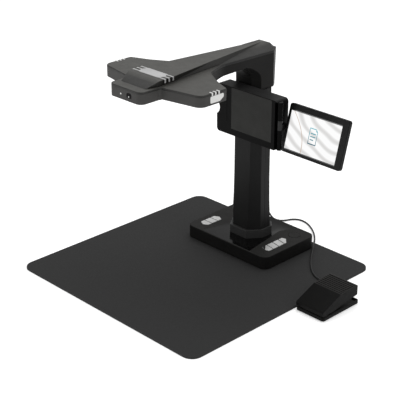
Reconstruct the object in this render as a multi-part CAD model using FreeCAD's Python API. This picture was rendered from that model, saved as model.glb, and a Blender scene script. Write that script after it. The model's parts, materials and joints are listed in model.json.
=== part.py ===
"""Overhead book scanner: a mat, a console with keys, a column, an arm with a winged scanning head,
a swing-out screen on a cradle, and a foot pedal on its cable.

Millimetres, +Z up.  X runs to the right, Y to the back.  The origin is the centre of the mat's underside.
"""
import FreeCAD, Part
import math
import os

V = FreeCAD.Vector

# ---------------------------------------------------------------- driving dimensions
MAT_WIDTH = 480.0
MAT_DEPTH = 486.0
MAT_CORNER = 22.0
UNDERLAY = 1.0
MAT_TOP = 4.5

CONSOLE_HALF = 110.0
CONSOLE_FRONT = 79.0
CONSOLE_BACK = 228.0
CONSOLE_CORNER = 16.0
CONSOLE_FLOOR = MAT_TOP + 1.0
CONSOLE_SPLIT = 12.0
CONSOLE_TOP = 32.0
WALL = 2.5

KEY_GAP = 2.4
KEY_PROUD = 0.9

COLUMN_TOP = 342.0
COLUMN_HALF = 36.0
COLUMN_FRONT = 127.0
COLUMN_BACK = 179.0
COLLAR_TOP = 48.5

HEAD_FLOOR = 392.0
HEAD_SEAM = 409.3
HEAD_TOP = 413.5
HOOD_TOP = 424.5
NOSE_FLOOR = 391.0
NOSE_HALF = 42.0
NOSE_FRONT = -172.0
WING_HALF = 126.0
WING_FRONT = -110.0
WING_BACK = -47.5
WAIST = (29.0, 38.0)
ARM_HALF = 35.0
NECK_BACK = 185.0
ARM_BACK = 194.0
LENS_Y = -115.0

CRADLE_X = (-30.0, 125.0)
CRADLE_Y = (85.0, 115.0)
CRADLE_Z = (258.5, 355.5)
PANEL_X = (8.4, 110.9)
PANEL_FLOOR = 271.5
SWING_X = 124.5
SWING_Y = 93.5
TILT_Y = 107.0
TILT_Z = 303.5
BARREL_R = 5.0
SCREEN_X = (130.8, 270.0)
SCREEN_HEIGHT = 92.0
SCREEN_THICK = 9.0
SCREEN_LEAN = 15.0

PEDAL_X = (245.0, 311.0)
PEDAL_Y = (16.0, 118.0)
PEDAL_PIN_Y = 26.0
PEDAL_PIN_Z = 11.0
FOLD_Y = 65.0
CABLE_DIAMETER = 3.5
SOCKET_X = -54.0
SOCKET_Z = 20.0

RUNNING = 0.05
PARTS = {}


# ---------------------------------------------------------------- shape helpers
def box(x, y, z):
    """A box between three (low, high) pairs."""
    return Part.makeBox(x[1] - x[0], y[1] - y[0], z[1] - z[0], V(x[0], y[0], z[0]))


def rod(radius, start, end):
    """A cylinder from one point to another."""
    axis = V(*end) - V(*start)
    return Part.makeCylinder(radius, axis.Length, V(*start), axis)


def rounded_wire(corners):
    """A closed flat wire in XY through (x, y, radius) corners."""
    points = [V(x, y, 0) for x, y, _ in corners]
    starts, ends, middles = [], [], []
    count = len(corners)
    for i, (_, _, radius) in enumerate(corners):
        corner = points[i]
        before = (points[i - 1] - corner).normalize()
        after = (points[(i + 1) % count] - corner).normalize()
        half = math.acos(max(-1.0, min(1.0, before.dot(after)))) / 2
        if radius <= 0 or abs(half - math.pi / 2) < 1e-6:
            starts.append(corner)
            ends.append(corner)
            middles.append(None)
            continue
        reach = radius / math.tan(half)
        centre = corner + (before + after).normalize() * (radius / math.sin(half))
        starts.append(corner + before * reach)
        ends.append(corner + after * reach)
        middles.append(centre + (corner - centre).normalize() * radius)
    edges = []
    for i in range(count):
        if middles[i] is not None:
            edges.append(Part.Arc(starts[i], middles[i], ends[i]).toShape())
        following = starts[(i + 1) % count]
        if (following - ends[i]).Length > 1e-6:
            edges.append(Part.LineSegment(ends[i], following).toShape())
    return Part.Wire(edges)


def slab(corners, low, high):
    """An upright plate with a rounded outline."""
    face = Part.Face(rounded_wire(corners))
    face.translate(V(0, 0, low))
    return face.extrude(V(0, 0, high - low))


def inset_slab(corners, inset, low, high):
    """The same plate drawn in by a wall's thickness."""
    face = Part.Face(rounded_wire(corners)).makeOffset2D(-inset)
    face.translate(V(0, 0, low))
    return face.extrude(V(0, 0, high - low))


def rectangle(x, y, radius):
    """The corners of a rounded rectangle."""
    return [(x[0], y[0], radius), (x[1], y[0], radius), (x[1], y[1], radius), (x[0], y[1], radius)]


def mirrored(half):
    """A symmetrical outline from its right half, which runs from front to back."""
    return half + [(-x, y, radius) for x, y, radius in reversed(half)]


def upright_slab(corners, y):
    """A plate whose rounded outline is in (x, z), between two places along Y."""
    solid = slab(corners, -y[1], -y[0])
    solid.rotate(V(0, 0, 0), V(1, 0, 0), 90)
    return solid


def side_slab(corners, x):
    """A plate whose rounded outline is in (y, z), between two places along X."""
    solid = slab(corners, x[0], x[1])
    solid.rotate(V(0, 0, 0), V(1, 1, 1), 120)
    return solid


def polyhedron(points, faces):
    """A closed solid from corner points and faces given as point names."""
    sides = []
    for face in faces:
        loop = [V(*points[name]) for name in face]
        sides.append(Part.Face(Part.makePolygon(loop + loop[:1])))
    solid = Part.Solid(Part.makeShell(sides))
    if solid.Volume < 0:
        solid.reverse()
    return solid


def soften(solid, radius, wanted):
    """Rounds the edges whose every vertex passes the test."""
    edges = [edge for edge in solid.Edges if all(wanted(vertex.Point) for vertex in edge.Vertexes)]
    return solid.makeFillet(radius, edges).Solids[0]


def at_height(z):
    """A test for points at one height."""
    return lambda point: abs(point.z - z) < 1e-4


def keep(name, *solids):
    """Stores one node: a solid, or a group of separate solids."""
    bodies = [body for solid in solids for body in solid.Solids]
    PARTS[name] = bodies[0] if len(bodies) == 1 else Part.makeCompound(bodies)


# ---------------------------------------------------------------- fasteners
SCREWS = []


def screw(at, into, length=8.0):
    """A pan-head case screw: its head's outer face is at the point, and it runs along the direction."""
    start = V(*at)
    axis = V(*into)
    head = Part.makeCylinder(2.8, 1.8, start, axis)
    shank = Part.makeCylinder(1.4, length, start + axis * 1.8, axis)
    solid = head.fuse(shank).removeSplitter()
    SCREWS.append(solid)
    return solid


# ---------------------------------------------------------------- mat
def make_mat():
    outline = rectangle((-MAT_WIDTH / 2, MAT_WIDTH / 2), (-MAT_DEPTH / 2, MAT_DEPTH / 2), MAT_CORNER)
    keep("mat_underlay", slab(outline, 0, UNDERLAY))
    top = slab(outline, UNDERLAY, MAT_TOP)
    keep("book_mat", soften(top, 1.2, at_height(MAT_TOP)))


# ---------------------------------------------------------------- console
DECK_HALF = [(65.6, 81.5), (47.0, 188.0), (61.0, 225.5)]
DECK_VALLEY = (26.0, 209.0)
DECK_DROP = 3.5
LEFT_KEYS = [(-84.0, 100.0, 2.5), (-73.0, 105.5, 3), (-73.0, 144.0, 3), (-84.0, 149.5, 2.5),
             (-95.0, 144.0, 3), (-95.0, 105.5, 3)]
RIGHT_KEYS = [(84.0, 106.0, 2), (93.0, 109.0, 2), (93.0, 159.5, 3), (81.0, 171.5, 2), (72.0, 168.5, 2),
              (72.0, 120.5, 3)]
POWER_CENTRE = (80.0, 197.0)
POWER_R = 12.5
PORT_X = (-62.0, 62.0)
PORT_Z = (13.0, 27.0)
USB_X = 4.0
DC_X = 32.0


def console_outline():
    return rectangle((-CONSOLE_HALF, CONSOLE_HALF), (CONSOLE_FRONT, CONSOLE_BACK), CONSOLE_CORNER)


def key_row(outline, count, slant):
    """Splits one long six-sided key field into keys, with slots that lean forward to the right."""
    low = min(y for _, y, _ in outline)
    high = max(y for _, y, _ in outline)
    middle = sum(x for x, _, _ in outline) / len(outline)
    field = inset_slab(outline, 0.4, CONSOLE_TOP - 4.5, CONSOLE_TOP + KEY_PROUD)
    pitch = (high - low) / count
    keys = []
    for i in range(count):
        front = low + i * pitch + (KEY_GAP / 2 if i else -20)
        back = low + (i + 1) * pitch - (KEY_GAP / 2 if i < count - 1 else -20)
        band = [(middle - 20, front + 20 * slant, 0), (middle + 20, front - 20 * slant, 0),
                (middle + 20, back - 20 * slant, 0), (middle - 20, back + 20 * slant, 0)]
        cap = field.common(slab(band, CONSOLE_TOP - 5, CONSOLE_TOP + 2)).Solids[0]
        cap = soften(cap, 0.5, at_height(CONSOLE_TOP + KEY_PROUD))
        centre = cap.CenterOfMass
        stem = rod(1.8, (centre.x, centre.y, 19.0), (centre.x, centre.y, CONSOLE_TOP - 4.4))
        keys.append(cap.fuse(stem).removeSplitter().Solids[0])
    return keys


def key_board(keys):
    """A strip of circuit board with a switch under each key's stem."""
    centres = [key.CenterOfMass for key in keys]
    middle = sum(c.x for c in centres) / len(centres)
    y = (min(c.y for c in centres) - 11, max(c.y for c in centres) + 11)
    board = box((middle - 12, middle + 12), y, (13.0, 14.6))
    for centre in centres:
        board = board.fuse(rod(3.0, (centre.x, centre.y, 14.6), (centre.x, centre.y, 17.6)))
    return board.removeSplitter()


def centre_deck(low):
    """The sunken gloss insert: two plates that fall to a crease behind the column, and side facets."""
    points = {}
    for side, sign in (("r", 1), ("l", -1)):
        for name, (x, y) in zip(("front", "waist", "back"), DECK_HALF):
            points[side + name] = (sign * x, y, CONSOLE_TOP)
            points[side + name + "_under"] = (sign * x, y, low)
        points[side + "valley"] = (sign * DECK_VALLEY[0], DECK_VALLEY[1], CONSOLE_TOP - DECK_DROP)
    faces = [("rfront", "rvalley", "lvalley", "lfront"), ("rback", "lback", "lvalley", "rvalley"),
             ("rfront", "rwaist", "rvalley"), ("rwaist", "rback", "rvalley"),
             ("lfront", "lvalley", "lwaist"), ("lwaist", "lvalley", "lback"),
             ("lfront_under", "lwaist_under", "lback_under", "rback_under", "rwaist_under", "rfront_under"),
             ("lfront", "lfront_under", "rfront_under", "rfront"),
             ("lback", "rback", "rback_under", "lback_under")]
    for side in ("r", "l"):
        for first, second in (("front", "waist"), ("waist", "back")):
            a, b = side + first, side + second
            faces.append((a, a + "_under", b + "_under", b))
    return polyhedron(points, faces)


def deck_outline():
    return mirrored([(x, y, 0) for x, y in DECK_HALF])


def collar_outline(grow=0.0):
    half = [(22.5 + grow / 2, 117.0 - grow), (41.0 + grow, 144.0 - grow / 2),
            (41.0 + grow, 172.0 + grow / 2), (27.0 + grow / 2, 186.0 + grow)]
    return mirrored([(x, y, 2.5) for x, y in half])


def usb_socket():
    """A square printer-type data socket: a shell open to the back, with its tongue set deep inside."""
    y = (212.0, CONSOLE_BACK - 0.4)
    shell = box((USB_X - 6, USB_X + 6), y, (14.6, 25.4))
    shell = shell.cut(box((USB_X - 4.2, USB_X + 4.2), (214.0, 230), (16.2, 23.8)))
    tongue = box((USB_X - 2.8, USB_X + 2.8), (214.0, 222.6), (18.6, 21.6))
    return shell.fuse(tongue).removeSplitter()


def dc_socket():
    """A round power socket with a centre pin set deep inside."""
    y = (213.0, CONSOLE_BACK - 0.4)
    block = box((DC_X - 5.5, DC_X + 5.5), y, (14.6, 25.4))
    block = block.cut(rod(3.4, (DC_X, 215.0, SOCKET_Z), (DC_X, 230, SOCKET_Z)))
    return block.fuse(rod(1.0, (DC_X, 214.5, SOCKET_Z), (DC_X, 222.5, SOCKET_Z))).removeSplitter()


def pedal_socket():
    """The jack socket that holds the pedal's plug."""
    block = box((SOCKET_X - 6, SOCKET_X + 6), (209.0, CONSOLE_BACK - WALL), (14.6, 25.4))
    return block.cut(rod(1.8, (SOCKET_X, 210.5, SOCKET_Z), (SOCKET_X, 230, SOCKET_Z)))


def make_console():
    outline = console_outline()
    tray = slab(outline, CONSOLE_FLOOR, CONSOLE_SPLIT)
    tray = soften(tray, 0.8, at_height(CONSOLE_FLOOR))
    tray = tray.cut(inset_slab(outline, WALL, CONSOLE_FLOOR + WALL, CONSOLE_SPLIT + 1))
    cover = slab(outline, CONSOLE_SPLIT, CONSOLE_TOP)
    cover = soften(cover, 1.4, at_height(CONSOLE_TOP))
    cover = cover.cut(inset_slab(outline, WALL, CONSOLE_SPLIT - 1, CONSOLE_TOP - 3))
    for x in (-96, 96):
        for y in (92, 215):
            post = rod(5.0, (x, y, CONSOLE_FLOOR + WALL), (x, y, CONSOLE_TOP - 3))
            cover = cover.fuse(post)
            fastener = screw((x, y, CONSOLE_FLOOR), (0, 0, 1))
            tray = tray.cut(fastener)
            cover = cover.cut(fastener)
    deck = centre_deck(CONSOLE_TOP - 6)
    cover = cover.cut(slab(deck_outline(), CONSOLE_TOP - 4, CONSOLE_TOP + 1))
    deck = deck.cut(slab(collar_outline(0.15), 0, 60))
    keep("centre_deck", deck)

    left = key_row(LEFT_KEYS, 3, 0.0)
    right = key_row(RIGHT_KEYS, 4, 0.2)
    for field in (LEFT_KEYS, RIGHT_KEYS):
        cover = cover.cut(slab(field, CONSOLE_TOP - 4, CONSOLE_TOP + 1))
    for side, keys in (("left", left), ("right", right)):
        for number, key in enumerate(keys, 1):
            keep(f"key_{side}_{number}", key)

    x, y = POWER_CENTRE
    cover = cover.cut(rod(POWER_R, (x, y, CONSOLE_TOP - 4), (x, y, CONSOLE_TOP + 1)))
    button = rod(POWER_R - 0.5, (x, y, CONSOLE_TOP - 4), (x, y, CONSOLE_TOP + 0.3))
    button = soften(button, 0.6, at_height(CONSOLE_TOP + 0.3))
    keep("power_button", button.fuse(rod(2.0, (x, y, 19.0), (x, y, CONSOLE_TOP - 4))).removeSplitter())
    power_board = box((x - 9, x + 9), (y - 9, y + 9), (13.0, 14.6))
    power_board = power_board.fuse(rod(3.0, (x, y, 14.6), (x, y, 17.6))).removeSplitter()
    keep("key_boards", key_board(left), key_board(right), power_board)

    port_window = box(PORT_X, (CONSOLE_BACK - 5, CONSOLE_BACK + 1), PORT_Z)
    cover = cover.cut(port_window)
    plate = box(PORT_X, (CONSOLE_BACK - WALL, CONSOLE_BACK), PORT_Z)
    plate = plate.cut(box((USB_X - 6, USB_X + 6), (220, 230), (14.6, 25.4)))
    plate = plate.cut(box((DC_X - 5.5, DC_X + 5.5), (220, 230), (14.6, 25.4)))
    plate = plate.cut(rod(3.0, (SOCKET_X, 220, SOCKET_Z), (SOCKET_X, 230, SOCKET_Z)))
    keep("rear_port_plate", plate)
    keep("usb_socket", usb_socket())
    keep("dc_socket", dc_socket())
    keep("pedal_socket", pedal_socket())

    floor = CONSOLE_FLOOR + WALL
    ballast = box((-85, 85), (90, 206), (floor, floor + 3))
    keep("ballast_plate", ballast)
    standoffs = [rod(2.5, (x, y, floor), (x, y, 13.0)) for x in (-52, 52) for y in (212, 220)]
    board = box((-58, 58), (188, 224), (13.0, 14.6))
    keep("main_board", board, *standoffs)
    keep("console_tray", tray)
    keep("console_cover", cover)


# ---------------------------------------------------------------- column
COLUMN_SECTIONS = [(25.0, 38.9, 20.0), (48.0, 38.9, 20.0), (78.0, 38.2, 17.5), (110.0, 37.2, 16.5),
                   (160.0, 36.5, 15.5), (230.0, 36.2, 15.0), (COLUMN_TOP, COLUMN_HALF, 15.0)]


def column_section(z, half, chamfer, wall=0.0):
    """An eight-sided section: a narrow front, square sides and smaller chamfers at the back."""
    flare = half - COLUMN_HALF
    front = COLUMN_FRONT - 1.6 * flare + wall
    back = COLUMN_BACK + flare - wall
    half -= wall
    chamfer -= wall * (2 - math.sqrt(2))
    rear = 13.0 - wall * (2 - math.sqrt(2))
    right = [(half - chamfer, front), (half, front + chamfer), (half, back - rear), (half - rear, back)]
    loop = right + [(-x, y) for x, y in reversed(right)]
    points = [V(x, y, z) for x, y in loop]
    return Part.makePolygon(points + points[:1])


def make_column():
    outer = Part.makeLoft([column_section(*section) for section in COLUMN_SECTIONS], True, True)
    inner = Part.makeLoft([column_section(*section, WALL) for section in COLUMN_SECTIONS], True, True)
    shell = outer.cut(inner)
    seam_y = 153.0
    front = shell.common(box((-60, 60), (90, seam_y), (0, 400)))
    rear = shell.common(box((-60, 60), (seam_y, 200), (0, 400)))
    for z in (80, 190, 300):
        fastener = screw((0, COLUMN_BACK + 0.1, z), (0, -1, 0), 4.0)
        rear = rear.cut(fastener)
    keep("column_front_shell", front)
    keep("column_rear_shell", rear)
    floor = CONSOLE_FLOOR + WALL + 3
    mast = box((-20, 20), (140, 166), (floor, 396))
    mast = mast.cut(box((-18, 18), (142, 164), (floor - 1, 397)))
    flange = box((-30, 30), (134, 172), (floor, floor + 3)).cut(box((-20, 20), (140, 166), (0, 60)))
    keep("column_mast", mast.fuse(flange).removeSplitter())
    ring = slab(collar_outline(), 25.0, COLLAR_TOP)
    ring = soften(ring, 1.0, at_height(COLLAR_TOP))
    keep("collar", ring.cut(outer))


# ---------------------------------------------------------------- arm and head
HEAD_HALF = [(NOSE_HALF, NOSE_FRONT, 12), (NOSE_HALF, -126.0, 5), (WING_HALF, WING_FRONT, 15),
             (WING_HALF, WING_BACK, 6), (88.0, -32.0, 40), (46.0, -7.0, 26), (*WAIST, 60),
             (ARM_HALF, 172.0, 3), (20.0, ARM_BACK, 3)]
UNDERSIDE = [(-200.0, 300.0, 0), (-200.0, NOSE_FLOOR, 0), (15.0, NOSE_FLOOR, 60), (95.0, 394.0, 24),
             (COLUMN_FRONT, 374.0, 24), (COLUMN_FRONT, 300.0, 0)]
CORNER_X = 20.0
CORNER_RUN = 16.0
CORNER_SETBACK = 15.0
LAMP_Y = (-88.0, -56.0)
LAMP_Z = (395.5, 408.0)
GILL_Y = (-84.5, -76.5, -68.5)
WING_LAMP_X = (62.0, 110.0)
WING_LAMP_Y = (-92.0, -70.0)
INLAY_Y = (-116.5, -92.5)


def head_outline():
    return mirrored(HEAD_HALF)


def side_diffuser(sign):
    """The lit window in a wing tip, its lower back corner cut away."""
    y0, y1 = LAMP_Y
    z0, z1 = LAMP_Z
    profile = [(y0, z0, 2.5), (y1 - 9, z0, 3), (y1, z0 + 6, 3), (y1, z1, 2.5), (y0, z1, 2.5)]
    solid = side_slab(profile, (WING_HALF - 4.5, WING_HALF + 0.6))
    return solid if sign > 0 else solid.mirror(V(0, 0, 0), V(1, 0, 0))


def gills():
    """Three short inlays that wrap each wing tip's upper edge."""
    pieces = []
    for sign in (1, -1):
        for y in GILL_Y:
            across = box((WING_HALF - 6.5, WING_HALF + 0.3), (y, y + 3), (HEAD_TOP - 1.5, HEAD_TOP + 0.3))
            down = box((WING_HALF - 2.5, WING_HALF + 0.3), (y, y + 3), (LAMP_Z[1] + 0.6, HEAD_TOP + 0.3))
            piece = across.fuse(down).removeSplitter()
            pieces.append(piece if sign > 0 else piece.mirror(V(0, 0, 0), V(1, 0, 0)))
    return pieces


def hood():
    """The raised spine: a faceted hood over the head that narrows back along the arm to a rear cap."""
    stations = {"nose": (32.0, -152.0, HEAD_TOP), "brow_low": (38.0, -126.0, HEAD_TOP),
                "brow": (41.0, -126.0, HOOD_TOP), "wide_low": (35.0, -92.0, HEAD_TOP),
                "wide": (39.5, -92.0, HOOD_TOP), "waist_low": (26.0, 30.0, HEAD_TOP),
                "waist": (22.0, 30.0, HOOD_TOP), "rear_low": (33.5, 165.0, HEAD_TOP),
                "rear": (4.5, 160.0, HOOD_TOP), "cap": (14.0, 183.0, 422.0), "tail": (18.5, 190.0, HEAD_TOP)}
    points = {}
    for name, (x, y, z) in stations.items():
        points["r" + name] = (x, y, z)
        points["l" + name] = (-x, y, z)
    top = ["brow", "wide", "waist", "rear"]
    bottom = ["nose", "brow_low", "wide_low", "waist_low", "rear_low", "tail"]
    faces = [["r" + name for name in top] + ["l" + name for name in reversed(top)],
             ["l" + name for name in bottom] + ["r" + name for name in reversed(bottom)],
             ("lnose", "rnose", "rbrow", "lbrow"), ("rrear", "rcap", "lcap", "lrear"),
             ("rcap", "rtail", "ltail", "lcap")]
    for s in ("r", "l"):
        faces += [(s + "nose", s + "brow_low", s + "brow"),
                  (s + "brow_low", s + "wide_low", s + "wide"), (s + "brow_low", s + "wide", s + "brow"),
                  (s + "wide_low", s + "waist_low", s + "waist"), (s + "wide_low", s + "waist", s + "wide"),
                  (s + "waist_low", s + "rear_low", s + "rear"), (s + "waist_low", s + "rear", s + "waist"),
                  (s + "rear_low", s + "cap", s + "rear"), (s + "rear_low", s + "tail", s + "cap")]
    return polyhedron(points, faces)


def inlay():
    """The light plate across the hood: a six-sided middle, and three prongs that bend down at each side."""
    y0, y1 = INLAY_Y
    low, high = HOOD_TOP, HOOD_TOP + 0.8
    plate = slab([(-24, y0, 1), (24, y0, 1), (31, (y0 + y1) / 2, 1), (24, y1, 1), (-24, y1, 1),
                  (-31, (y0 + y1) / 2, 1)], low, high)
    for i in range(3):
        y = y0 + 1.0 + i * 9.5
        plate = plate.fuse(box((-42.0, 42.0), (y, y + 3), (low, high)))
        for x in ((-42.0, -41.1), (41.1, 42.0)):
            plate = plate.fuse(box(x, (y, y + 3), (HOOD_TOP - 6.0, high)))
    return plate.removeSplitter()


def make_head():
    outline = head_outline()
    block = slab(outline, COLUMN_TOP, HEAD_SEAM)
    middle = side_slab(UNDERSIDE, (-CORNER_X, CORNER_X))
    block = block.cut(middle)
    for sign in (1, -1):
        end = next(face for face in middle.Faces if abs(face.CenterOfMass.x - sign * CORNER_X) < 0.01)
        across = V(sign * CORNER_RUN, CORNER_SETBACK, 0)
        block = block.cut(end.extrude(across))
        beyond = end.copy()
        beyond.translate(across)
        block = block.cut(beyond.extrude(V(sign * 110, 0, 0)))
        under_wing = box(sorted((sign * (NOSE_HALF + 1), sign * 140)), (-200, 60), (300, HEAD_FLOOR))
        block = block.cut(under_wing)
    leaning_back = [(NECK_BACK, COLUMN_TOP - 1, 0), (ARM_BACK + 20, COLUMN_TOP - 1, 0),
                    (ARM_BACK + 20, HEAD_SEAM, 0), (ARM_BACK, HEAD_SEAM, 0)]
    block = block.cut(side_slab(leaning_back, (-60, 60)))
    front_cavity = inset_slab(outline, WALL, HEAD_FLOOR + WALL, HEAD_SEAM + 1)
    block = block.cut(front_cavity.common(box((-200, 200), (-200, 15), (300, 500))))
    block = block.cut(front_cavity.common(box((-200, 200), (14, 200), (399, 500))))
    neck_space = Part.Face(column_section(COLUMN_TOP - 1, ARM_HALF, 15.0, 4.0)).extrude(V(0, 0, 59))
    block = block.cut(neck_space)
    top = slab(outline, HEAD_SEAM, HEAD_TOP)
    top = soften(top, 1.6, at_height(HEAD_TOP))
    top = top.cut(inset_slab(outline, WALL, HEAD_SEAM - 1, HEAD_TOP - 2.2))

    diffusers = [side_diffuser(1), side_diffuser(-1)]
    inlays = gills()
    for piece in diffusers + inlays:
        block = block.cut(piece)
        top = top.cut(piece)
    keep("side_diffusers", *diffusers)
    keep("gill_inlays", *inlays)

    lamps, boards = [], []
    for sign in (1, -1):
        x = sorted((sign * WING_LAMP_X[0], sign * WING_LAMP_X[1]))
        lens = slab(rectangle(x, WING_LAMP_Y, 4), HEAD_FLOOR - 0.6, HEAD_FLOOR + WALL)
        block = block.cut(lens)
        lamps.append(lens)
        boards.append(box(x, WING_LAMP_Y, (HEAD_FLOOR + WALL + 2, HEAD_FLOOR + WALL + 3.6)))
        tip = sorted((sign * (WING_HALF - 10.0), sign * (WING_HALF - 8.4)))
        boards.append(box(tip, (LAMP_Y[0] + 2, LAMP_Y[1] - 2), (LAMP_Z[0] + 2.5, LAMP_Z[1])))
    keep("wing_lamp_lenses", *lamps)

    housing = rod(24, (0, LENS_Y, NOSE_FLOOR - 7), (0, LENS_Y, NOSE_FLOOR + 14))
    housing = soften(housing, 2.5, at_height(NOSE_FLOOR - 7))
    block = block.cut(housing)
    barrel = rod(13, (0, LENS_Y, NOSE_FLOOR - 9), (0, LENS_Y, NOSE_FLOOR + 10))
    housing = housing.cut(barrel)
    barrel = barrel.cut(rod(9.5, (0, LENS_Y, NOSE_FLOOR - 10), (0, LENS_Y, NOSE_FLOOR - 3)))
    lens = rod(9.5, (0, LENS_Y, NOSE_FLOOR - 7.5), (0, LENS_Y, NOSE_FLOOR - 3))
    keep("camera_housing", housing)
    keep("lens_barrel", barrel)
    keep("lens_glass", lens)
    lasers = []
    for x in (-27, 0, 27):
        emitter = rod(3.2, (x, NOSE_FRONT + 16, NOSE_FLOOR - 1.0), (x, NOSE_FRONT + 16, NOSE_FLOOR + 9))
        block = block.cut(emitter)
        lasers.append(emitter)
    keep("laser_emitters", *lasers)
    keep("head_boards", box((-34, 34), (-148, -80), (406.0, 407.6)), *boards)

    window = upright_slab([(6, 397.5, 1.5), (18, 397.5, 1.5), (18, 406.5, 4), (6, 406.5, 4)],
                          (NOSE_FRONT - 0.4, NOSE_FRONT + 4))
    lights = [rod(1.5, (-9, NOSE_FRONT - 0.6, 401), (-9, NOSE_FRONT + 4, 401)),
              rod(1.2, (12, NOSE_FRONT - 0.9, 400), (12, NOSE_FRONT - 0.4, 400))]
    block = block.cut(window).cut(lights[0])
    keep("nose_window", window)
    keep("nose_lights", *lights)
    for x in (-32, 32):
        fastener = screw((x, -80, NOSE_FLOOR), (0, 0, 1), 6.0)
        block = block.cut(fastener)
    keep("arm_lower_shell", block)
    keep("head_upper_shell", top)
    keep("arm_top_cover", hood())
    keep("hood_inlay", inlay())


# ---------------------------------------------------------------- screen cradle and hinge
KNUCKLE_Z = (298.5, 317.0)


def make_cradle():
    x0, x1 = CRADLE_X
    z0, z1 = CRADLE_Z
    profile = [(x0, z0, 7), (x1, z0, 7), (x1, z1, 7), (x0, z1, 7)]
    whole = upright_slab(profile, CRADLE_Y)
    notch = rod(15.0, (x0 - 7.5, 80, 306.5), (x0 - 7.5, 120, 306.5))
    whole = whole.cut(notch)
    seam_y = 101.5
    cavity = upright_slab(rectangle((x0 + 11, 112), (z0 + 3, z1 - 3), 3), (CRADLE_Y[0] + 3.5, CRADLE_Y[1] - WALL))
    screw_places = [(x, z) for x in (-12, 104) for z in (270, 344)]
    for x, z in screw_places:
        cavity = cavity.cut(rod(4.0, (x, 80, z), (x, 120, z)))
    whole = whole.cut(cavity)
    front = whole.common(box((-60, SWING_X - 5.6), (80, seam_y), (200, 400)))
    rear = whole.common(box((-60, 150), (seam_y, 130), (200, 400)))
    front = front.fuse(whole.common(box((SWING_X - 5.7, 150), (80, seam_y), (z1 - 3, 400))))
    barrels = [(z0 + 0.5, KNUCKLE_Z[0] - 0.3), (KNUCKLE_Z[1] + 0.3, z1 - 3)]
    for low, high in barrels:
        barrel = rod(BARREL_R, (SWING_X, SWING_Y, low), (SWING_X, SWING_Y, high))
        web = box((SWING_X - 6, SWING_X), (SWING_Y - 1.6, seam_y), (low, high))
        front = front.fuse(barrel).fuse(web.common(box((0, SWING_X), (0, seam_y), (low, high))))
    rib = upright_slab(rectangle((-6.0, -3.5), (283, 330), 1.2), (CRADLE_Y[0] - 0.35, CRADLE_Y[0] + 1))
    pin = rod(1.6, (SWING_X, SWING_Y, z0 + 2), (SWING_X, SWING_Y, z1 - 3))
    front = front.fuse(rib).removeSplitter().cut(pin)
    bracket_profile = [(-30, 268, 4), (36, 268, 4), (36, COLUMN_TOP - 0.5, 8), (-30, COLUMN_TOP - 0.5, 8)]
    bracket = upright_slab(bracket_profile, (CRADLE_Y[1], COLUMN_FRONT + 13))
    section = column_section(250, COLUMN_HALF + 0.35, 15.0)
    column_space = Part.Face(section).extrude(V(0, 0, 150))
    bracket = bracket.cut(column_space)
    bracket = max(bracket.Solids, key=lambda solid: solid.Volume)
    panel = upright_slab(rectangle(PANEL_X, (PANEL_FLOOR, z1 - 1.6), 1), (CRADLE_Y[0] - 0.2, CRADLE_Y[0] + 1))
    front = front.cut(panel)
    for x, z in screw_places:
        fastener = screw((x, CRADLE_Y[1], z), (0, -1, 0), 16.0)
        rear = rear.cut(fastener)
        front = front.cut(fastener)
    keep("cradle_front", front)
    keep("cradle_rear_cover", rear)
    keep("cradle_bracket", bracket)
    keep("cradle_panel", panel)
    keep("hinge_pin", pin)


def make_hinge():
    """The swing knuckle on the upright pin, and the short level shaft that carries the screen."""
    knuckle = rod(BARREL_R, (SWING_X, SWING_Y, KNUCKLE_Z[0]), (SWING_X, SWING_Y, KNUCKLE_Z[1]))
    lug = side_slab([(SWING_Y, KNUCKLE_Z[0], 0), (TILT_Y + 4.5, KNUCKLE_Z[0], 4), (TILT_Y + 4.5, 309.0, 4),
                     (SWING_Y, 309.0, 0)], (SWING_X + 1.8, SWING_X + BARREL_R))
    knuckle = knuckle.fuse(lug).removeSplitter()
    knuckle = knuckle.cut(rod(1.6 + RUNNING, (SWING_X, SWING_Y, 290), (SWING_X, SWING_Y, 330)))
    knuckle = knuckle.cut(rod(2.0 + RUNNING, (SWING_X, TILT_Y, TILT_Z), (SWING_X + 10, TILT_Y, TILT_Z)))
    keep("hinge_knuckle", knuckle)
    inner_end = SWING_X + 2.2
    shaft = rod(2.0, (inner_end, TILT_Y, TILT_Z), (SCREEN_X[0] + 14, TILT_Y, TILT_Z))
    flange = rod(4.2, (SWING_X + BARREL_R + 0.3, TILT_Y, TILT_Z), (SCREEN_X[0] - 0.3, TILT_Y, TILT_Z))
    keep("tilt_shaft", shaft.fuse(flange).removeSplitter())


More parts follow.
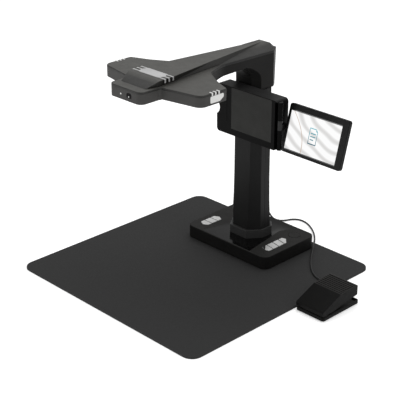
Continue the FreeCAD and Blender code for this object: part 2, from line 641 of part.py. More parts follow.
def make_screen():
    """The display: front bezel, glass, circuit board and back cover, leaning back on the level shaft."""
    x0, x1 = SCREEN_X
    half_h = SCREEN_HEIGHT / 2
    z0, z1 = TILT_Z - half_h, TILT_Z + half_h
    y0, y1 = TILT_Y - SCREEN_THICK / 2, TILT_Y + SCREEN_THICK / 2
    profile = [(x0, z0, 5), (x1, z0, 5), (x1, z1, 5), (x0, z1, 5)]
    glass_x = (x0 + 5.5, x1 - 14.0)
    glass_z = (z0 + 5.5, z1 - 11.0)
    seam = TILT_Y - 1.0
    bezel = upright_slab(profile, (y0, seam))
    bezel = soften(bezel, 1.0, lambda point: abs(point.y - y0) < 1e-4)
    pocket = box((glass_x[0] - 1.5, glass_x[1] + 1.5), (y0 + 1.4, seam + 1), (glass_z[0] - 1.5, glass_z[1] + 1.5))
    bezel = bezel.cut(pocket).cut(box(glass_x, (y0 - 1, seam), glass_z))
    glass = box((glass_x[0] - 1.3, glass_x[1] + 1.3), (y0 + 1.4, y0 + 2.6), (glass_z[0] - 1.3, glass_z[1] + 1.3))
    glass = glass.fuse(box((glass_x[0] + 0.1, glass_x[1] - 0.1), (y0 + 0.7, y0 + 1.5),
                           (glass_z[0] + 0.1, glass_z[1] - 0.1))).removeSplitter()
    cover = upright_slab(profile, (seam, y1))
    cover = soften(cover, 2.0, lambda point: abs(point.y - y1) < 1e-4)
    cover = cover.cut(box((glass_x[0], glass_x[1]), (seam - 1, y1 - 2.0), (glass_z[0], glass_z[1])))
    board = box((x0 + 30, x1 - 30), (seam + 0.6, seam + 2.0), (z0 + 16, z1 - 18))
    bore = rod(2.0 + RUNNING, (x0 - 1, TILT_Y, TILT_Z), (x0 + 14.5, TILT_Y, TILT_Z))
    names = {"screen_bezel": bezel.cut(bore), "screen_glass": glass.cut(bore), "screen_cover": cover.cut(bore),
             "screen_board": board}
    for name, solid in names.items():
        solid = solid.copy()
        solid.rotate(V(0, TILT_Y, TILT_Z), V(1, 0, 0), -SCREEN_LEAN)
        keep(name, solid)


# ---------------------------------------------------------------- foot pedal
def treadle_profile(inset):
    """The treadle's side view: a steep toe slope, then a ribbed tread that is almost level."""
    y0, y1 = PEDAL_Y[0] + inset, PEDAL_Y[1] - 5.0 - inset
    toe = (y0, 18.5 - inset * 1.1, 3)
    fold = (FOLD_Y, 38.5 - inset * 1.1, 4)
    rear = (y1, 41.0 - inset * 1.05, 3)
    if inset:
        return [(y0, 0, 0), (y1, 0, 0), rear, fold, toe]
    return [(y0, 10.5, 1), (PEDAL_Y[0] + 30, 11.5, 8), (y1, 20.5, 2), rear, fold, toe]


def make_pedal():
    x0, x1 = PEDAL_X
    y0, y1 = PEDAL_Y
    base_top = 8.0
    base = slab(rectangle(PEDAL_X, PEDAL_Y, 5), 1.5, base_top)
    base = soften(base, 0.8, at_height(base_top))
    base = base.cut(slab(rectangle((x0 + 2.5, x1 - 2.5), (y0 + 2.5, y1 - 2.5), 2.5), 3.5, base_top + 1))
    ears = []
    for x in (x0 + 5, x1 - 9):
        ears.append(side_slab([(PEDAL_PIN_Y - 4, 3.5, 0), (PEDAL_PIN_Y + 4, 3.5, 0), (PEDAL_PIN_Y + 4, 15, 4),
                               (PEDAL_PIN_Y - 4, 15, 4)], (x, x + 4)))
    for ear in ears:
        base = base.fuse(ear)
    pin = rod(1.5, (x0 + 2.2, PEDAL_PIN_Y, PEDAL_PIN_Z), (x1 - 2.2, PEDAL_PIN_Y, PEDAL_PIN_Z))
    entry_x = x1 - 41.0
    cable_z = 4.8
    relief_base = rod(3.0, (entry_x, y1 - 4.0, cable_z), (entry_x, y1, cable_z))
    base = base.removeSplitter().cut(pin).cut(relief_base)
    keep("pedal_base", base)
    keep("pedal_pin", pin)
    taper = Part.makeCone(3.0, 2.2, 18, V(entry_x, y1, cable_z), V(0, 1, 0))
    relief = relief_base.fuse(taper).removeSplitter()
    keep("pedal_strain_relief", relief)

    outer = side_slab(treadle_profile(0), (x0 + 1, x1 - 1))
    inner = side_slab(treadle_profile(WALL), (x0 + 3.5, x1 - 3.5))
    treadle = outer.cut(inner)
    slope = (41.0 - 38.5) / (y1 - 5 - FOLD_Y)
    for i in range(8):
        y = FOLD_Y + 2.5 + i * 5.4
        z = 38.5 + slope * (y - FOLD_Y)
        rib = side_slab([(y, z - 1, 0), (y + 2.8, z - 1, 0), (y + 2.5, z + 1.3, 0.4), (y + 0.3, z + 1.1, 0.4)],
                        (x0 + 3, x1 - 3))
        treadle = treadle.fuse(rib)
    treadle = treadle.removeSplitter()
    hole = rod(1.5 + RUNNING, (x0 + 2.0, PEDAL_PIN_Y, PEDAL_PIN_Z), (x1 - 2.0, PEDAL_PIN_Y, PEDAL_PIN_Z))
    for side in (x0 + 1, x1 - 3.5):
        lug = side_slab([(PEDAL_PIN_Y - 4, 8.6, 3), (PEDAL_PIN_Y + 4, 8.6, 3), (PEDAL_PIN_Y + 4, 17, 0),
                         (PEDAL_PIN_Y - 4, 17, 0)], (side + 0.2, side + 2.3))
        treadle = treadle.fuse(lug)
    plunger = rod(2.5, (278, 92, 23.4), (278, 92, 38.0))
    treadle = treadle.fuse(plunger).cut(hole).removeSplitter()
    keep("pedal_treadle", max(treadle.Solids, key=lambda solid: solid.Volume))

    switch = box((268, 288), (84, 100), (3.5, 13.0))
    keep("pedal_switch", switch.fuse(rod(2.0, (278, 92, 13.0), (278, 92, 15.0))).removeSplitter())
    coil_path = Part.makeHelix(1.8, 10.8, 3.6)
    wire = Part.Wire(Part.makeCircle(0.6, V(3.6, 0, 0), V(0, 1, 0)))
    coil = Part.Wire(coil_path).makePipeShell([wire], True, True)
    coil.rotate(V(0, 0, 0), V(0, 1, 0), 90)
    coil.translate(V(272, PEDAL_PIN_Y, PEDAL_PIN_Z))
    keep("pedal_spring", coil)


# ---------------------------------------------------------------- pedal cable
CABLE_ROUTE = [
    (-54.0, 252.0, 20.0), (-54.0, 260.0, 20.0), (-53.5, 267.2, 15.5), (-51.0, 270.3, 8.0), (-45.0, 270.9, 2.8),
    (-36.0, 270.9, 2.0), (-27.0, 273.2, 2.0), (-20.0, 280.5, 2.0), (-16.0, 290.0, 2.0), (-11.0, 299.5, 2.0),
    (1.0, 307.0, 2.0), (16.5, 306.5, 2.0), (33.5, 299.5, 2.0), (51.0, 288.5, 2.2), (67.0, 275.0, 3.0),
    (81.0, 260.5, 5.0), (94.0, 245.0, 7.6), (107.0, 226.5, 6.9), (122.0, 204.5, 6.5), (139.0, 181.5, 6.5),
    (156.0, 161.0, 6.5), (174.0, 143.5, 6.5), (191.5, 131.5, 6.5), (209.0, 126.5, 6.5), (223.0, 131.5, 6.5),
    (234.0, 144.5, 8.2), (244.0, 156.5, 7.0), (256.0, 161.0, 2.2), (266.0, 156.0, 2.2), (270.0, 146.0, 4.8),
    (270.0, 136.0, 4.8)]


def route_radii(points):
    """Each inner point's arc: as large as its two runs allow."""
    radii = []
    for a, b, c in zip(points, points[1:], points[2:]):
        before, after = b - a, c - b
        turn = before.getAngle(after)
        radii.append(0.45 * min(before.Length, after.Length) / math.tan(turn / 2))
    return radii


def route_wire(points, radii):
    """Straight runs joined by arcs that touch them."""
    edges = []
    here = points[0]
    for i, radius in enumerate(radii, 1):
        corner = points[i]
        before = (points[i - 1] - corner).normalize()
        after = (points[i + 1] - corner).normalize()
        half = before.getAngle(after) / 2
        reach = radius / math.tan(half)
        centre = corner + (before + after).normalize() * (radius / math.sin(half))
        start, end = corner + before * reach, corner + after * reach
        middle = centre + (corner - centre).normalize() * radius
        edges.append(Part.LineSegment(here, start).toShape())
        edges.append(Part.Arc(start, middle, end).toShape())
        here = end
    edges.append(Part.LineSegment(here, points[-1]).toShape())
    return Part.Wire(edges)


def make_cable():
    body = rod(4.2, (SOCKET_X, CONSOLE_BACK, SOCKET_Z), (SOCKET_X, CONSOLE_BACK + 16, SOCKET_Z))
    body = soften(body, 0.8, lambda point: abs(point.y - CONSOLE_BACK - 16) < 1e-4)
    collar = rod(2.9, (SOCKET_X, CONSOLE_BACK - WALL, SOCKET_Z), (SOCKET_X, CONSOLE_BACK, SOCKET_Z))
    tip = rod(1.75, (SOCKET_X, CONSOLE_BACK - WALL - 13, SOCKET_Z), (SOCKET_X, CONSOLE_BACK - WALL, SOCKET_Z))
    boot = Part.makeCone(3.0, 2.2, 8, V(SOCKET_X, CONSOLE_BACK + 16, SOCKET_Z), V(0, 1, 0))
    keep("cable_plug", body.fuse([collar, tip, boot]).removeSplitter())
    points = [V(*point) for point in CABLE_ROUTE]
    radii = route_radii(points)
    path = route_wire(points, radii)
    first = path.Edges[0]
    section = Part.Wire(Part.makeCircle(CABLE_DIAMETER / 2, points[0], first.tangentAt(first.FirstParameter)))
    tube = path.makePipeShell([section], True, False)
    keep("pedal_cable", tube)
    area = math.pi * CABLE_DIAMETER ** 2 / 4
    print("cable length", round(path.Length, 1), "smallest radius", round(min(radii), 1))
    print("cable radii", [round(radius) for radius in radii])
    print("cable volume against section times length", round(tube.Volume / (area * path.Length), 4))


# ---------------------------------------------------------------- feet and screws
def make_feet():
    console = [rod(7, (x, y, MAT_TOP), (x, y, CONSOLE_FLOOR)) for x in (-85, 85) for y in (100, 208)]
    pedal = [rod(5, (x, y, 0), (x, y, 1.5)) for x in (255, 301) for y in (27, 107)]
    keep("rubber_feet", *console, *pedal)


make_mat()
make_console()
make_column()
make_head()
make_cradle()
make_hinge()
make_screen()
make_pedal()
make_cable()
make_feet()
keep("case_screws", *SCREWS)

os.makedirs("parts", exist_ok=True)
for name, shape in PARTS.items():
    assert shape.isValid(), name
    shape.exportStep(f"parts/{name}.step")
print(len(PARTS), "nodes")
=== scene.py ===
"""The looks of the overhead book scanner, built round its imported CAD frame.  Metres, +Z up."""
import json
import math

import bpy
from mathutils import Matrix, Vector


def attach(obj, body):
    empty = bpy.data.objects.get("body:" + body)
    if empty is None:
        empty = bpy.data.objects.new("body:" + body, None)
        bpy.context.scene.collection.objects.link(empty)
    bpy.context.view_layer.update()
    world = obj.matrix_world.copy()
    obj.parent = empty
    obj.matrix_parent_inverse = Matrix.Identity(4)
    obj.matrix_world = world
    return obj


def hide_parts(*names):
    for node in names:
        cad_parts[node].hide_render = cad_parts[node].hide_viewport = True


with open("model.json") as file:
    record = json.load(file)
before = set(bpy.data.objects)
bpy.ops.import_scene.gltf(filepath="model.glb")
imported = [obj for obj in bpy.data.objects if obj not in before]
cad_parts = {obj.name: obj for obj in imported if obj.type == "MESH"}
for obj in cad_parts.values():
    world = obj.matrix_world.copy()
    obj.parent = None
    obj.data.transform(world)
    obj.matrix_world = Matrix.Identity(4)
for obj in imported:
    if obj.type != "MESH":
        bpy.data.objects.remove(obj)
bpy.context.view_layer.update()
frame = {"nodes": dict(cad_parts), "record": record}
NODES = frame["nodes"]
MM = 0.001


# ---------------------------------------------------------------- pieces
def add_piece(name, data, body, slot, material=None):
    """A new piece from a mesh or curve, riding on a body and finished with the material named by its slot,
    or with the given material instead.
    """
    piece = bpy.data.objects.new(name, data)
    bpy.context.collection.objects.link(piece)
    data.materials.append(MATERIALS[material or slot])
    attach(piece, body)
    return piece


# ---------------------------------------------------------------- camera, light and floor
CAMERA_AT = (1.4591, -1.4125, 1.0759)
CAMERA_ELEVATION = 24.6006
CAMERA_AZIMUTH = 45.7204
CAMERA_LENS = 105.28
CAMERA_SENSOR = 36.0
CAMERA_REACH = 30.0

# Each lamp's place, the point it looks at, its width and height, and its power in watts.
LAMPS = {"overhead": ((-0.2, 0.5, 2.2), (0, 0, 0.1), (2.4, 1.8), 26),
         "side": ((2.2, 0.3, 1.5), (0, 0, 0.2), (1.0, 1.6), 9),
         "front": ((-1.0, -2.2, 0.8), (0, 0, 0.25), (1.4, 1.0), 13)}
WORLD_STRENGTH = 0.62
WHITE = (1.0, 1.0, 1.0, 1)
FLOOR_HALF_WIDTH = 6.0
FLOOR_DROP = 0.0002
FLOOR_GREY = 0.9
FLOOR_GLOW = 0.32


def set_camera():
    camera = bpy.data.cameras.new("camera")
    camera.lens = CAMERA_LENS
    camera.sensor_width = CAMERA_SENSOR
    camera.clip_end = CAMERA_REACH
    obj = bpy.data.objects.new("camera", camera)
    obj.location = CAMERA_AT
    obj.rotation_euler = (math.radians(90 - CAMERA_ELEVATION), 0, math.radians(CAMERA_AZIMUTH))
    bpy.context.collection.objects.link(obj)
    bpy.context.scene.camera = obj


def area_light(name, at, aim, size, power):
    """A soft rectangular lamp that looks at a point."""
    lamp = bpy.data.lights.new(name, "AREA")
    lamp.energy = power
    lamp.shape = "RECTANGLE"
    lamp.size, lamp.size_y = size
    obj = bpy.data.objects.new(name, lamp)
    obj.location = at
    obj.rotation_euler = (Vector(aim) - Vector(at)).to_track_quat("-Z", "Y").to_euler()
    bpy.context.collection.objects.link(obj)


def set_floor():
    reach = FLOOR_HALF_WIDTH
    mesh = bpy.data.meshes.new("floor")
    mesh.from_pydata([(-reach, -reach, 0), (reach, -reach, 0), (reach, reach, 0), (-reach, reach, 0)], [],
                     [(0, 1, 2, 3)])
    floor = bpy.data.objects.new("floor", mesh)
    floor.location.z = -FLOOR_DROP
    bpy.context.collection.objects.link(floor)
    finish = bpy.data.materials.new("floor_paper")
    finish.use_nodes = True
    sockets = finish.node_tree.nodes["Principled BSDF"].inputs
    sockets["Base Color"].default_value = (FLOOR_GREY, FLOOR_GREY, FLOOR_GREY, 1)
    sockets["Roughness"].default_value = 0.9
    sockets["Specular IOR Level"].default_value = 0.1
    sockets["Emission Color"].default_value = WHITE
    sockets["Emission Strength"].default_value = FLOOR_GLOW
    mesh.materials.append(finish)


def set_studio():
    world = bpy.data.worlds.new("studio")
    bpy.context.scene.world = world
    world.use_nodes = True
    background = world.node_tree.nodes["Background"]
    background.inputs["Color"].default_value = WHITE
    background.inputs["Strength"].default_value = WORLD_STRENGTH
    for name, (at, aim, size, power) in LAMPS.items():
        area_light(name, at, aim, size, power)
    bpy.context.scene.view_settings.view_transform = "Standard"
    set_floor()


# ---------------------------------------------------------------- materials
def srgb(level, tint=(1.0, 1.0, 1.0)):
    """A linear colour from an 8-bit display grey and a tint."""
    value = level / 255
    linear = value / 12.92 if value <= 0.04045 else ((value + 0.055) / 1.055) ** 2.4
    return tuple(linear * part for part in tint) + (1.0,)


class Shader:
    """A Principled material with short helpers for the nodes that vary it over the surface."""

    def __init__(self, name, colour, roughness=0.5, specular=0.5, **constants):
        self.material = bpy.data.materials.new(name)
        self.material.use_nodes = True
        self.tree = self.material.node_tree
        self.body = self.tree.nodes["Principled BSDF"]
        self.body.inputs["Base Color"].default_value = colour
        self.body.inputs["Roughness"].default_value = roughness
        self.body.inputs["Specular IOR Level"].default_value = specular
        for socket, value in constants.items():
            self.body.inputs[socket.replace("_", " ")].default_value = value
        self.place = self.tree.nodes.new("ShaderNodeTexCoord").outputs["Object"]
        self.colour = colour
        self.height = None

    def node(self, kind, **settings):
        made = self.tree.nodes.new(kind)
        for name, value in settings.items():
            setattr(made, name, value)
        return made

    def link(self, source, target):
        self.tree.links.new(source, target)

    def noise(self, size, detail=3.0, stretch=None):
        """Noise whose features are about this many metres across."""
        made = self.node("ShaderNodeTexNoise")
        made.inputs["Scale"].default_value = 1.0 / size
        made.inputs["Detail"].default_value = detail
        place = self.place
        if stretch:
            mapping = self.node("ShaderNodeMapping")
            mapping.inputs["Scale"].default_value = stretch
            self.link(place, mapping.inputs["Vector"])
            place = mapping.outputs["Vector"]
        self.link(place, made.inputs["Vector"])
        return made.outputs["Fac"]

    def ranged(self, value, low, high, start=0.3, end=0.7):
        """Maps a value's middle range to low..high."""
        made = self.node("ShaderNodeMapRange")
        made.inputs["From Min"].default_value = start
        made.inputs["From Max"].default_value = end
        made.inputs["To Min"].default_value = low
        made.inputs["To Max"].default_value = high
        self.link(value, made.inputs["Value"])
        return made.outputs["Result"]

    def vary_colour(self, size, amount, detail=3.0):
        """Slightly lighter and darker patches."""
        mix = self.node("ShaderNodeMix", data_type="RGBA")
        low = tuple(part * (1 - amount) for part in self.colour[:3]) + (1.0,)
        high = tuple(min(1.0, part * (1 + amount)) for part in self.colour[:3]) + (1.0,)
        mix.inputs["A"].default_value = low
        mix.inputs["B"].default_value = high
        self.link(self.ranged(self.noise(size, detail), 0, 1), mix.inputs["Factor"])
        self.link(mix.outputs["Result"], self.body.inputs["Base Color"])

    def vary_roughness(self, size, low, high, detail=4.0):
        self.link(self.ranged(self.noise(size, detail), low, high), self.body.inputs["Roughness"])

    def grain(self, size, depth, detail=2.0, stretch=None):
        """Fine relief this many metres across and deep."""
        bump = self.node("ShaderNodeBump")
        bump.inputs["Distance"].default_value = depth
        bump.inputs["Strength"].default_value = 1.0
        self.link(self.noise(size, detail, stretch), bump.inputs["Height"])
        if self.height:
            self.link(self.height, bump.inputs["Normal"])
        self.height = bump.outputs["Normal"]
        self.link(self.height, self.body.inputs["Normal"])

    def gradient(self, low, high):
        """A colour that runs from low to high up the piece's own picture coordinates."""
        picture = self.node("ShaderNodeSeparateXYZ")
        self.link(self.node("ShaderNodeTexCoord").outputs["UV"], picture.inputs["Vector"])
        mix = self.node("ShaderNodeMix", data_type="RGBA")
        mix.inputs["A"].default_value = low
        mix.inputs["B"].default_value = high
        self.link(picture.outputs["Y"], mix.inputs["Factor"])
        return mix.outputs["Result"]

    def paint_shade_on_slopes(self, factor, level, steep):
        """Painted shade: multiplies the colour by factor where the piece's own surface leans away from
        facing up, so that walls come out darker than tops as if lit from above.
        """
        normal = self.node("ShaderNodeSeparateXYZ")
        self.link(self.node("ShaderNodeTexCoord").outputs["Normal"], normal.inputs["Vector"])
        self.multiply(self.ranged(normal.outputs["Z"], factor, 1.0, steep, level))

    def along(self, axis, start, end, low, high):
        """Painted shade: multiplies the colour by low..high between two places along an axis, in metres."""
        place = self.node("ShaderNodeSeparateXYZ")
        self.link(self.place, place.inputs["Vector"])
        self.multiply(self.ranged(place.outputs[axis], low, high, start, end))

    def math(self, operation, first, second):
        """The result of a Math node on two numbers or sockets."""
        made = self.node("ShaderNodeMath", operation=operation)
        for socket, value in zip(made.inputs, (first, second)):
            if isinstance(value, (int, float)):
                socket.default_value = value
            else:
                self.link(value, socket)
        return made.outputs["Value"]

    def multiply(self, factor):
        """Multiplies what already feeds the base colour."""
        scale = self.node("ShaderNodeVectorMath", operation="SCALE")
        self.link(self.body.inputs["Base Color"].links[0].from_socket, scale.inputs[0])
        self.link(factor, scale.inputs["Scale"])
        self.link(scale.outputs["Vector"], self.body.inputs["Base Color"])


def moulded(name, colour, roughness, specular, grain, wear, **constants):
    """Moulded plastic: a fine spark-eroded grain, faint smears in its sheen."""
    made = Shader(name, colour, roughness, specular, **constants)
    made.vary_colour(0.03, 0.08)
    made.vary_roughness(0.012, roughness - wear, roughness + wear)
    if grain:
        made.grain(0.0004, grain)
    return made


def wallpaper():
    """The lit display's picture: pale folds of cloth that sweep across, and one thin brown line."""
    made = Shader("wallpaper", srgb(20), 0.25, 0.2, Emission_Strength=1.0)
    picture = made.node("ShaderNodeTexCoord").outputs["UV"]
    mapping = made.node("ShaderNodeMapping")
    mapping.inputs["Location"].default_value = (-1.1, -1.25, 0)
    made.link(picture, mapping.inputs["Vector"])
    folds = made.node("ShaderNodeTexWave", wave_type="RINGS", rings_direction="Z")
    folds.inputs["Scale"].default_value = 1.35
    folds.inputs["Distortion"].default_value = 5.0
    folds.inputs["Detail"].default_value = 1.0
    folds.inputs["Detail Scale"].default_value = 0.8
    made.link(mapping.outputs["Vector"], folds.inputs["Vector"])
    mix = made.node("ShaderNodeMix", data_type="RGBA")
    mix.inputs["A"].default_value = srgb(212, (1.0, 0.99, 0.98))
    mix.inputs["B"].default_value = srgb(247)
    made.link(made.ranged(folds.outputs["Fac"], 0, 1, 0.0, 0.6), mix.inputs["Factor"])
    places = made.node("ShaderNodeSeparateXYZ")
    made.link(picture, places.inputs["Vector"])
    curve = made.math("MULTIPLY", made.math("SUBTRACT", places.outputs["Y"], 0.1), 0.9)
    bend = made.math("MULTIPLY", made.math("MULTIPLY", curve, curve), 0.42)
    across = made.math("ADD", places.outputs["X"], bend)
    offset = made.math("ABSOLUTE", made.math("SUBTRACT", across, 0.33), 0)
    line = made.ranged(offset, 1, 0, 0.003, 0.009)
    brown = made.node("ShaderNodeMix", data_type="RGBA")
    brown.inputs["B"].default_value = srgb(190, (1.0, 0.78, 0.62))
    made.link(line, brown.inputs["Factor"])
    made.link(mix.outputs["Result"], brown.inputs["A"])
    made.link(brown.outputs["Result"], made.body.inputs["Emission Color"])
    return made.material


NEUTRAL = (1.0, 1.0, 1.0)
WARM = (1.02, 1.0, 0.96)
OLIVE = (1.03, 1.01, 0.92)

# Each moulded finish: display grey, tint, roughness, specular level, depth of its grain in metres, and
# how far its roughness varies.
PLASTICS = {
    "console_plastic": (37, WARM, 0.5, 0.05, 0.00003, 0.05),
    "button_black": (37, WARM, 0.5, 0.05, 0.00003, 0.05),
    "gloss_black": (9, NEUTRAL, 0.12, 0.14, 0.0, 0.02),
    "column_plastic": (24, NEUTRAL, 0.36, 0.1, 0.00001, 0.04),
    "arm_plastic": (66, (1.02, 1.0, 0.97), 0.4, 0.05, 0.00001, 0.04),
    "hood_plastic": (64, OLIVE, 0.5, 0.3, 0.00003, 0.05),
    # The head shell's copy of the hood finish; it carries painted shade on its walls and towards the neck.
    "shell_plastic_painted_shade": (64, OLIVE, 0.5, 0.3, 0.00003, 0.05),
    "key_silver": (196, (1.0, 1.0, 0.99), 0.35, 0.5, 0.000008, 0.05),
    "inlay_silver": (178, NEUTRAL, 0.38, 0.5, 0.000008, 0.05),
    "window_dark": (6, NEUTRAL, 0.2, 0.05, 0.0, 0.02),
    "lens_housing": (16, NEUTRAL, 0.28, 0.3, 0.00001, 0.04),
    "cradle_plastic": (36, NEUTRAL, 0.36, 0.05, 0.00001, 0.04),
    "cradle_panel": (42, (1.01, 1.01, 0.95), 0.6, 0.12, 0.00003, 0.05),
    "hinge_metal": (8, NEUTRAL, 0.3, 0.3, 0.0, 0.05),
    "screen_plastic": (13, NEUTRAL, 0.36, 0.1, 0.00001, 0.04),
    "display": (20, NEUTRAL, 0.1, 0.5, 0.0, 0.02),
    "socket_black": (14, NEUTRAL, 0.45, 0.4, 0.00002, 0.05),
    "foot_rubber": (20, NEUTRAL, 0.8, 0.25, 0.00006, 0.05),
    "pedal_plastic": (42, WARM, 0.45, 0.06, 0.00004, 0.05),
    "collar_plastic": (42, NEUTRAL, 0.34, 0.2, 0.00001, 0.04)}
METALLIC = {"key_silver": 0.35, "inlay_silver": 0.4}

# Painted shade, so walls are darker than tops as if lit from above: what steep walls multiply the colour by,
# then the normal's Z from which the colour is full and to which it is darkest.
PAINTED_SLOPE_SHADE = {
    "console_plastic": (0.38, 0.9, 0.2), "button_black": (0.38, 0.9, 0.2),
    "hood_plastic": (0.28, 0.9994, 0.984), "shell_plastic_painted_shade": (0.28, 0.9994, 0.984),
    "cradle_plastic": (0.07, 0.98, 0.5), "pedal_plastic": (0.15, 0.995, 0.95)}

# Painted shade that darkens the arm and head shell towards the neck (+Y): from and to in metres, and what
# they are multiplied by at each end.
PAINTED_SHADE_FADES = {"arm_plastic": ("Y", -0.03, 0.03, 1.0, 0.22), "shell_plastic_painted_shade": ("Y", -0.02, 0.06, 1.0, 0.25)}


def make_plastics():
    made = {}
    for name, (grey, tint, roughness, specular, grain, wear) in PLASTICS.items():
        constants = {"Metallic": METALLIC[name]} if name in METALLIC else {}
        plastic = moulded(name, srgb(grey, tint), roughness, specular, grain, wear, **constants)
        # Painted shade: steep walls get a darker colour than tops.
        if name in PAINTED_SLOPE_SHADE:
            plastic.paint_shade_on_slopes(*PAINTED_SLOPE_SHADE[name])
        # Painted shade: darker towards the neck.
        if name in PAINTED_SHADE_FADES:
            plastic.along(*PAINTED_SHADE_FADES[name])
        made[name] = plastic.material
    return made


def make_mat():
    mat = Shader("mat_top", srgb(45), 0.75, 0.15)
    mat.vary_colour(0.0015, 0.08, 5.0)
    mat.vary_roughness(0.003, 0.7, 0.8)
    mat.grain(0.0009, 0.00005, 3.0)
    backing = Shader("mat_backing", srgb(16), 0.85, 0.2)
    backing.grain(0.0015, 0.0003, 1.0)
    return {"mat_top": mat.material, "mat_backing": backing.material}


def make_optics():
    lamp = Shader("lamp_white", srgb(205, (1.0, 1.0, 0.98)), 0.4, 0.3, Emission_Strength=0.03)
    lamp.body.inputs["Emission Color"].default_value = (1.0, 1.0, 0.98, 1)
    lamp.grain(0.0005, 0.00005)
    glass = Shader("lens_glass", srgb(30, (0.7, 0.75, 1.2)), 0.04, 0.8, Coat_Weight=0.6)
    return {"lamp_white": lamp.material, "lens_glass": glass.material}


def make_hardware():
    board = Shader("circuit_board", (0.01, 0.09, 0.035, 1), 0.4, 0.5)
    board.vary_colour(0.002, 0.4)
    steel = Shader("steel", srgb(170), 0.32, 0.5, Metallic=1.0)
    steel.vary_roughness(0.004, 0.25, 0.42)
    steel.grain(0.0002, 0.00001, 2.0, (1, 12, 1))
    nickel = Shader("socket_metal", srgb(190), 0.2, 0.5, Metallic=1.0)
    nickel.vary_roughness(0.002, 0.15, 0.3)
    cable = Shader("cable_rubber", srgb(18), 0.5, 0.35)
    cable.vary_roughness(0.004, 0.44, 0.56)
    cable.grain(0.0006, 0.00003)
    return {"circuit_board": board.material, "steel": steel.material, "socket_metal": nickel.material,
            "cable_rubber": cable.material}


def make_prints():
    teal = Shader("icon_teal", srgb(20), 0.3, 0.1, Emission_Strength=1.0)
    teal.vary_colour(0.01, 0.2)
    teal.link(teal.gradient((0.02, 0.11, 0.16, 1), (0.05, 0.42, 0.5, 1)), teal.body.inputs["Emission Color"])
    print_grey = Shader("print_grey", srgb(120), 0.6, 0.1)
    print_grey.vary_colour(0.002, 0.1)
    return {"wallpaper": wallpaper(), "icon_teal": teal.material, "print_grey": print_grey.material}


def make_materials():
    return make_mat() | make_plastics() | make_optics() | make_hardware() | make_prints()


# ---------------------------------------------------------------- pedal cable
CABLE_ROUTE = [
    (-54.0, 252.0, 20.0), (-54.0, 260.0, 20.0), (-53.5, 267.2, 15.5), (-51.0, 270.3, 8.0),
    (-45.0, 270.9, 2.8), (-36.0, 270.9, 2.0), (-27.0, 273.2, 2.0), (-20.0, 280.5, 2.0),
    (-16.0, 290.0, 2.0), (-11.0, 299.5, 2.0), (1.0, 307.0, 2.0), (16.5, 306.5, 2.0),
    (33.5, 299.5, 2.0), (51.0, 288.5, 2.2), (67.0, 275.0, 3.0), (81.0, 260.5, 5.0),
    (94.0, 245.0, 7.6), (107.0, 226.5, 6.9), (122.0, 204.5, 6.5), (139.0, 181.5, 6.5),
    (156.0, 161.0, 6.5), (174.0, 143.5, 6.5), (191.5, 131.5, 6.5), (209.0, 126.5, 6.5),
    (223.0, 131.5, 6.5), (234.0, 144.5, 8.2), (244.0, 156.5, 7.0), (256.0, 161.0, 2.2),
    (266.0, 156.0, 2.2), (270.0, 146.0, 4.8), (270.0, 136.0, 4.8)]
CABLE_DIAMETER = 0.0035


def make_cable():
    """The pedal's cable: one smooth curve through the route's control points."""
    curve = bpy.data.curves.new("cable", "CURVE")
    curve.dimensions = "3D"
    curve.bevel_depth = CABLE_DIAMETER / 2
    curve.bevel_resolution = 5
    curve.resolution_u = 8
    spline = curve.splines.new("NURBS")
    spline.points.add(len(CABLE_ROUTE) - 1)
    for point, place in zip(spline.points, CABLE_ROUTE):
        point.co = (*(part * MM for part in place), 1.0)
    spline.order_u = 3
    spline.use_endpoint_u = True
    cable = add_piece("cable", curve, "scanner", "cable_rubber")
    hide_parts("pedal_cable")


# ---------------------------------------------------------------- display and printed marks
SCREEN_LEAN = math.radians(-15)
# The tilt line is in metres. The upright glass's front and the lit picture's edges are in millimetres.
TILT_LINE = Vector((0, 0.107, 0.3035))
GLASS_FRONT = 103.2
PICTURE_X = (136.7, 255.6)
PICTURE_Z = (265.0, 336.5)
PICTURE_PROUD = 0.04
ICON_PROUD = 0.08

# The page icon's straight strokes, as left, low, right and high in the picture's own 0..1, and its
# folded corner.
ICON_BARS = [(0.42, 0.3, 0.43, 0.72), (0.57, 0.3, 0.58, 0.65), (0.43, 0.3, 0.57, 0.325),
             (0.43, 0.7, 0.545, 0.72), (0.45, 0.57, 0.55, 0.595), (0.45, 0.49, 0.55, 0.515),
             (0.45, 0.41, 0.52, 0.435)]
ICON_CORNER = [(0.545, 0.65), (0.58, 0.65), (0.545, 0.72)]
ICON_FOOT = 0.3
ICON_SHADE_RATE = 2.4


def flat_mesh(name, faces, places, uvs=None):
    """A mesh from corner points and faces, with picture coordinates."""
    mesh = bpy.data.meshes.new(name)
    mesh.from_pydata(places, [], faces)
    if uvs:
        layer = mesh.uv_layers.new(name="picture")
        for loop in mesh.loops:
            layer.data[loop.index].uv = uvs[loop.vertex_index]
    return mesh


def on_display(across, up, proud):
    """A place on the leaning display from picture coordinates 0..1 and a height off the glass in mm."""
    x = PICTURE_X[0] + across * (PICTURE_X[1] - PICTURE_X[0])
    z = PICTURE_Z[0] + up * (PICTURE_Z[1] - PICTURE_Z[0])
    place = Vector((x, GLASS_FRONT - proud, z)) * MM - TILT_LINE
    return Matrix.Rotation(SCREEN_LEAN, 3, "X") @ place + TILT_LINE


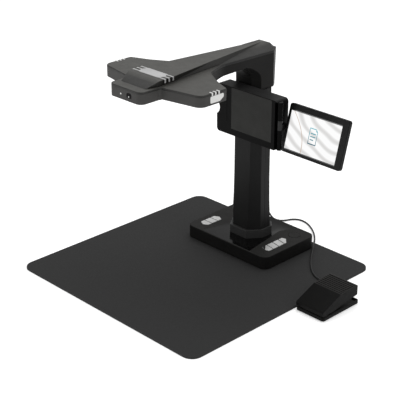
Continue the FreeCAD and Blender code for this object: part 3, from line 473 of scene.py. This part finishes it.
def make_display():
    corners = [(0, 0), (1, 0), (1, 1), (0, 1)]
    places = [on_display(*corner, PICTURE_PROUD) for corner in corners]
    picture = flat_mesh("display_picture", [(0, 1, 2, 3)], places, corners)
    add_piece("display_picture", picture, "screen", "display", "wallpaper")
    spots, faces = [], []
    for left, low, right, high in ICON_BARS:
        faces.append(tuple(range(len(spots), len(spots) + 4)))
        spots += [(left, low), (right, low), (right, high), (left, high)]
    faces.append(tuple(range(len(spots), len(spots) + 3)))
    spots += ICON_CORNER
    shades = [(across, (up - ICON_FOOT) * ICON_SHADE_RATE) for across, up in spots]
    icon = flat_mesh("display_icon", faces, [on_display(*spot, ICON_PROUD) for spot in spots], shades)
    add_piece("display_icon", icon, "screen", "display", "icon_teal")


def strip(name, start, end, across, slot, material):
    """A thin printed line between two places, this wide across."""
    start, end, across = Vector(start) * MM, Vector(end) * MM, Vector(across) * MM / 2
    places = [start - across, end - across, end + across, start + across]
    mesh = flat_mesh(name, [(0, 1, 2, 3)], places)
    add_piece(name, mesh, "scanner", slot, material)


def make_marks():
    slot = "console_plastic"
    strip("console_tick", (72, 111.7, 32.06), (79.5, 108.5, 32.06), (0.3, 0.8, 0), slot, "print_grey")
    strip("console_seam", (-2, 78.97, 9), (-2, 78.97, 31), (0.5, 0, 0), slot, "window_dark")


# ---------------------------------------------------------------- CAD nodes
# The width in millimetres that each node's hard edges are rounded by.
BEVELS = {
    "console_cover": 0.5, "console_tray": 0.3, "centre_deck": 0.35, "collar": 0.4,
    "column_front_shell": 0.8, "column_rear_shell": 0.8, "arm_lower_shell": 0.9, "head_upper_shell": 0.35,
    "arm_top_cover": 0.8, "hood_inlay": 0.2, "cradle_front": 0.4, "cradle_rear_cover": 1.2,
    "cradle_bracket": 1.0, "cradle_panel": 0.2, "screen_bezel": 0.3, "screen_cover": 0.3,
    "pedal_treadle": 0.7, "pedal_base": 0.4, "hinge_knuckle": 0.4, "rear_port_plate": 0.3,
    "camera_housing": 0.4, "lens_barrel": 0.4}
# The collar's own lighter finish, and the head shell's copy of the hood finish that carries painted shade.
OWN_FINISHES_AND_SHADED_COPIES = {"collar": "collar_plastic", "head_upper_shell": "shell_plastic_painted_shade"}
WELD_DISTANCE = 1e-6
FLAT_ANGLE = math.radians(0.5)
HARD_ANGLE = math.radians(24)


def soften_edges(obj, width):
    """Rounds a CAD node's hard edges with modifiers and leaves its own mesh alone."""
    weld = obj.modifiers.new("weld", "WELD")
    weld.merge_threshold = WELD_DISTANCE
    flat = obj.modifiers.new("flat", "DECIMATE")
    flat.decimate_type = "DISSOLVE"
    flat.angle_limit = FLAT_ANGLE
    bevel = obj.modifiers.new("round", "BEVEL")
    bevel.width = width
    bevel.segments = 3
    bevel.limit_method = "ANGLE"
    bevel.angle_limit = HARD_ANGLE
    bevel.use_clamp_overlap = True
    bevel.harden_normals = False
    obj.modifiers.new("shade", "WEIGHTED_NORMAL").keep_sharp = False


def dress_cad():
    """Gives each CAD node its slot's material, or its own finish, which for the head shell is a copy of the
    hood's finish with painted shade, and rounds its hard edges.
    """
    slots = {part["node"]: part["material_slot"] for part in frame["record"]["subparts"]}
    for name, obj in NODES.items():
        for holder in obj.material_slots:
            holder.material = MATERIALS[OWN_FINISHES_AND_SHADED_COPIES.get(name, slots[name])]
        for polygon in obj.data.polygons:
            polygon.use_smooth = True
        if name in BEVELS:
            soften_edges(obj, BEVELS[name] * MM)


set_camera()
set_studio()
MATERIALS = make_materials()
dress_cad()
make_cable()
make_display()
make_marks()
